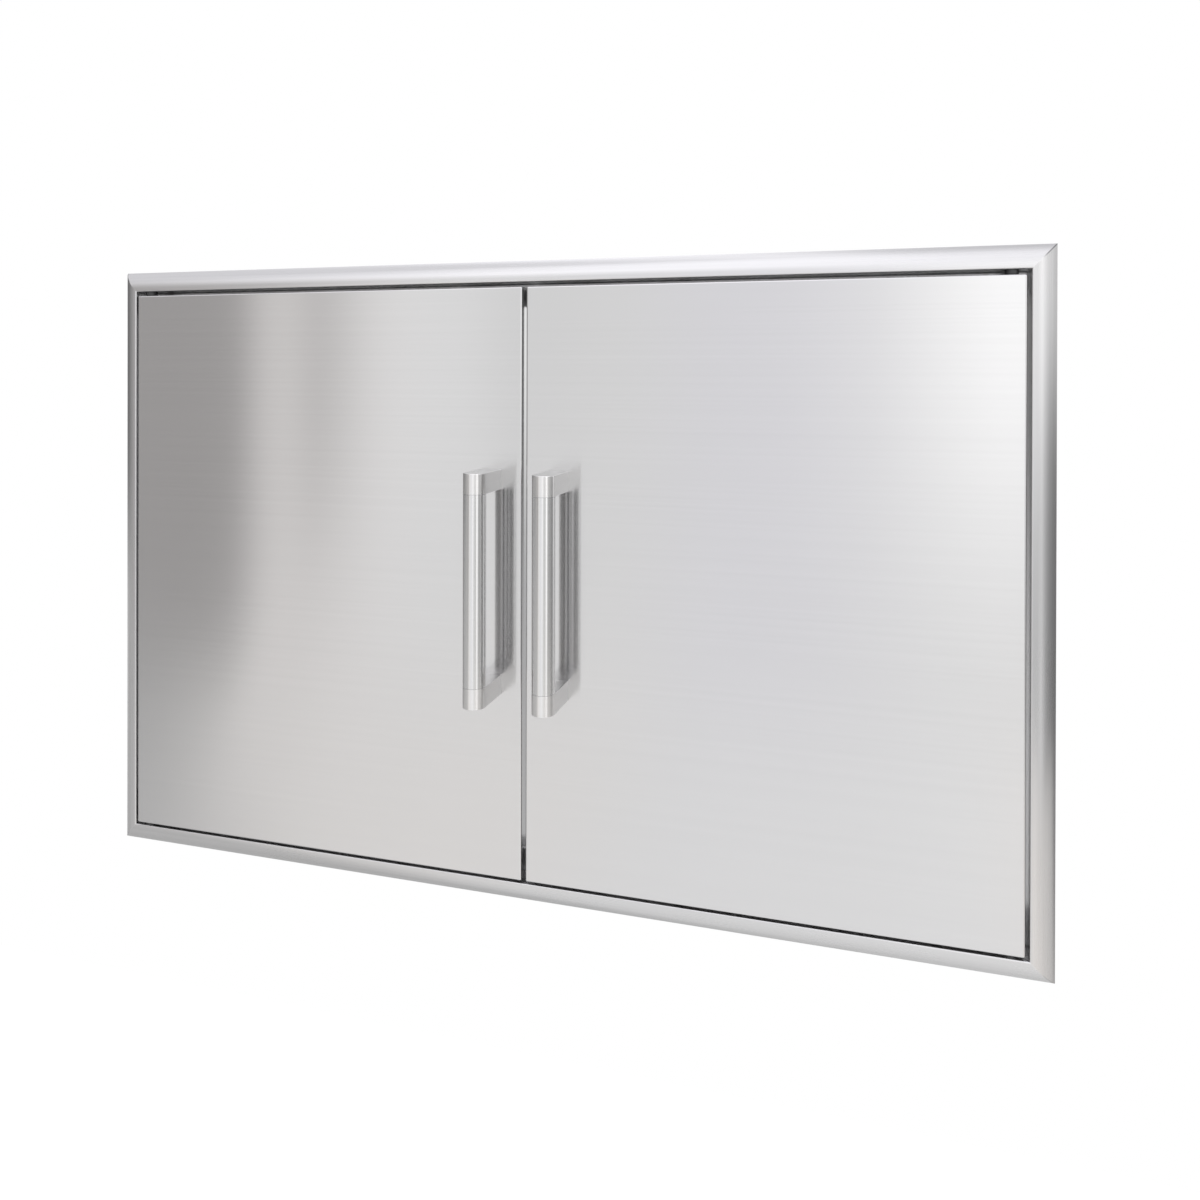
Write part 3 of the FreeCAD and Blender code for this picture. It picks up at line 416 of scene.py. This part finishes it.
def make_finishes():
    """Every finish, under the name of the material slot that it is for."""
    # The trims' seam line is partly a painted dark reflection.
    trim = dict(roughness=0.28, gloss_spread=0.80, streaks=0.04, depth=4.0e-6, seam_of=mitre_seam_and_reflection)
    return {
        "trim_across": brushed_steel("trim_steel_across", "X", "Z", **trim),
        "trim_upright": brushed_steel("trim_steel_upright", "Z", "X", **trim),
        "door_steel": brushed_steel(
            "door_steel_brushed", "X", "Z",
            roughness=0.15, gloss_spread=1.0, streaks=0.012, depth=4.0e-6,
        ),
        "liner_steel": brushed_steel(
            "liner_steel_brushed", "X", "Z",
            roughness=0.34, gloss_spread=0.8, streaks=0.02, depth=2.0e-6,
        ),
        # The handle tube and caps take the paler steels, a painted highlight.
        "handle_tube_steel": brushed_steel(
            "handle_tube_brushed", "XY", "Z",
            roughness=0.20, gloss_spread=0.9, streaks=0.012, depth=1.0e-6,
            colour=TUBE_STEEL_LIT, seam_of=tube_joints,
        ),
        "handle_bracket_steel": brushed_steel(
            "handle_bracket_brushed", "XY", "Z",
            roughness=0.29, gloss_spread=0.7, streaks=0.01, depth=4.0e-7, colour=CAP_STEEL_LIT,
        ),
        "stop_steel": satin_metal(
            "stop_steel_dull", (0.62, 0.62, 0.625),
            roughness=0.42, mottle=0.10, speckle=900.0, depth=3.0e-6,
        ),
        "hardware_steel": satin_metal(
            "hardware_satin", (0.60, 0.60, 0.605),
            roughness=0.28, mottle=0.08, speckle=1800.0, depth=2.0e-6,
        ),
        "plated_steel": satin_metal(
            "plated_zinc", (0.66, 0.67, 0.70),
            roughness=0.25, mottle=0.14, speckle=900.0, depth=3.0e-6,
        ),
        "ferrite_magnet": moulded(
            "ferrite_sintered", (0.045, 0.043, 0.042),
            roughness=0.55, grain=2400.0, depth=8.0e-6, dust=0.02,
        ),
        "catch_plastic": moulded(
            "catch_plastic_moulded", (0.05, 0.05, 0.052),
            roughness=0.40, grain=1600.0, depth=5.0e-6, dust=0.02,
        ),
        "nylon": moulded(
            "nylon_moulded", (0.025, 0.025, 0.026),
            roughness=0.42, grain=1200.0, depth=4.0e-6, dust=0.015,
        ),
        "bumper_rubber": moulded(
            "rubber_moulded", (0.05, 0.05, 0.05),
            roughness=0.62, grain=1500.0, depth=8.0e-6, dust=0.025,
        ),
    }


def dress_nodes(finishes):
    """Gives each CAD node the finish of its material slot. The upright trims have their own grain."""
    for name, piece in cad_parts.items():
        for place, slot in enumerate(piece.material_slots):
            finish = slot.material.name.split(".")[0]
            if finish == "trim_steel":
                upright = name in ("frame_left", "frame_right")
                finish = "trim_upright" if upright else "trim_across"
            piece.data.materials[place] = finishes[finish]


def colour_by_direction(tree, share, colours):
    """A colour by the share of a turn from straight behind, over the gain so that it fits a ramp."""
    ramp = add(tree, "ShaderNodeValToRGB")
    stops = ramp.color_ramp.elements
    while len(stops) < len(colours):
        stops.new(0.5)
    for stop, (degrees, colour) in zip(stops, colours):
        stop.position = (degrees + 180) / 360
        stop.color = (*(channel / STUDIO_GAIN for channel in colour), 1.0)
    join(tree, share, ramp.inputs["Fac"])
    return ramp.outputs["Color"]


def level_by_direction(tree, share, levels):
    """The studio's brightness at one height, by the share of a turn from straight behind."""
    greys = [(degrees, (level,) * 3) for degrees, level in levels]
    return maths(tree, "MULTIPLY", colour_by_direction(tree, share, greys), STUDIO_GAIN)


def rays(tree):
    """1 for mirrored rays, and 1 for rays that come straight from the camera, else 0."""
    ray = add(tree, "ShaderNodeLightPath")
    seen, through = ray.outputs["Is Camera Ray"], ray.outputs["Is Transmission Ray"]
    return ray.outputs["Is Glossy Ray"], maths(tree, "MAXIMUM", seen, through)


def studio_world():
    """White to the camera. Metal sees the white with the dark screens and the key panel in it."""
    world = bpy.data.worlds.new("studio")
    bpy.context.scene.world = world
    world.use_nodes = True
    tree = world.node_tree
    mirrored, direct = rays(tree)
    x, y, z = coordinates(tree, "Generated")
    heading = maths(tree, "ARCTAN2", x, maths(tree, "MULTIPLY", y, -1.0))
    share = spread(tree, heading, -math.pi, math.pi, 0.0, 1.0)

    levels = (LOW_LEVELS, EYE_LEVELS, OVERHEAD_LEVELS)
    low, eye, overhead = (level_by_direction(tree, share, stops) for stops in levels)
    lean = maths(tree, "MULTIPLY", maths(tree, "MAXIMUM", x, 0.0), LEAN_RIGHT)
    leaning = maths(tree, "SUBTRACT", z, lean)
    above_low = spread(tree, leaning, LOW_HEIGHT, EYE_HEIGHT, 0.0, 1.0, smooth=True)
    in_panel = spread(tree, z, BELOW_PANEL_HEIGHT, PANEL_HEIGHT, 0.0, 1.0, smooth=True)
    studio = between(tree, in_panel, between(tree, above_low, low, eye), overhead)
    tint = scaled(tree, colour_by_direction(tree, share, TINTS), STUDIO_GAIN)
    tint = blend_colour(tree, in_panel, tint, COOL)

    other = maths(tree, "SUBTRACT", 1.0, maths(tree, "MAXIMUM", mirrored, direct))
    level = maths(tree, "MULTIPLY", mirrored, studio)
    level = maths(tree, "ADD", level, maths(tree, "MULTIPLY", direct, WHITE))
    level = maths(tree, "ADD", level, maths(tree, "MULTIPLY", other, ROOM_LIGHT))
    background = tree.nodes["Background"]
    join(tree, blend_colour(tree, mirrored, NEUTRAL, tint), background.inputs["Color"])
    join(tree, level, background.inputs["Strength"])


def floor_finish():
    """Pale, and white to the camera. The metal sees the pool of light on it."""
    made, tree, shader = material("floor_pale")
    shader.inputs["Base Color"].default_value = FLOOR_COLOUR
    shader.inputs["Roughness"].default_value = FLOOR_ROUGHNESS
    mirrored, direct = rays(tree)
    x, y, _ = coordinates(tree, "Object")

    side = maths(tree, "SUBTRACT", x, maths(tree, "MULTIPLY", y, POOL_SLANT))
    lit = spread(tree, side, *POOL_LEFT, POOL_GLOW_OUTSIDE, POOL_GLOW, smooth=True)
    right = spread(tree, x, *POOL_RIGHT, 1.0, POOL_RIGHT_SHARE, smooth=True)
    back = spread(tree, y, *POOL_BACK, 1.0, POOL_BACK_SHARE, smooth=True)
    pool = maths(tree, "MULTIPLY", lit, maths(tree, "MULTIPLY", right, back))
    in_metal = maths(tree, "MULTIPLY", mirrored, pool)
    glow = maths(tree, "ADD", maths(tree, "MULTIPLY", direct, FLOOR_GLOW), in_metal)

    warm_right = spread(tree, x, *WARM_FLOOR_RIGHT, 0.0, 1.0, smooth=True)
    warm_left = spread(tree, x, *WARM_FLOOR_LEFT, 0.0, WARM_FLOOR_LEFT_SHARE, smooth=True)
    warmth = maths(tree, "MULTIPLY", mirrored, maths(tree, "MAXIMUM", warm_right, warm_left))
    join(tree, blend_colour(tree, warmth, NEUTRAL, WARM_FLOOR), shader.inputs["Emission Color"])
    join(tree, glow, shader.inputs["Emission Strength"])
    return made


def studio_floor():
    """A level floor below the door."""
    level = cad_box[0].z - FLOOR_DROP
    mesh = bpy.data.meshes.new("floor")
    corners = [
        (FLOOR_LEFT, FLOOR_FRONT, level),
        (FLOOR_RIGHT_IN_FRONT, FLOOR_FRONT, level),
        (FLOOR_RIGHT, FLOOR_SLANT_END, level),
        (FLOOR_RIGHT, FLOOR_BACK, level),
        (FLOOR_LEFT, FLOOR_BACK, level),
    ]
    mesh.from_pydata(corners, [], [tuple(range(len(corners)))])
    floor = bpy.data.objects.new("floor", mesh)
    bpy.context.scene.collection.objects.link(floor)
    floor.data.materials.append(floor_finish())


def key_lamp():
    """One large soft lamp, aimed at the door. The metal sees the studio's own panel instead of it."""
    data = bpy.data.lights.new("key_lamp", "AREA")
    data.shape = "SQUARE"
    data.size = KEY_SIZE
    data.energy = KEY_POWER
    lamp = bpy.data.objects.new("key_lamp", data)
    bpy.context.scene.collection.objects.link(lamp)
    lamp.location = KEY_PLACE
    lamp.rotation_euler = Vector(KEY_PLACE).to_track_quat("Z", "Y").to_euler()
    lamp.visible_glossy = False


def photo_camera():
    """The camera at the photograph's viewpoint. The shift stands for the photograph's own framing."""
    data = bpy.data.cameras.new("camera")
    data.sensor_width = CAMERA_SENSOR
    data.lens = CAMERA_LENS
    data.shift_y = (CENTRE_ROW - PHOTO_SIZE / 2) / PHOTO_SIZE
    camera = bpy.data.objects.new("camera", data)
    bpy.context.scene.collection.objects.link(camera)
    aim = Euler((math.pi / 2 - CAMERA_PITCH, 0.0, CAMERA_YAW)).to_matrix()
    roll = Matrix.Rotation(CAMERA_ROLL, 3, "Z")
    camera.matrix_world = Matrix.Translation(CAMERA_PLACE) @ (aim @ roll).to_4x4()
    bpy.context.scene.camera = camera


dress_nodes(make_finishes())
studio_world()
studio_floor()
key_lamp()
photo_camera()

bpy.context.scene.view_settings.view_transform = "Standard"
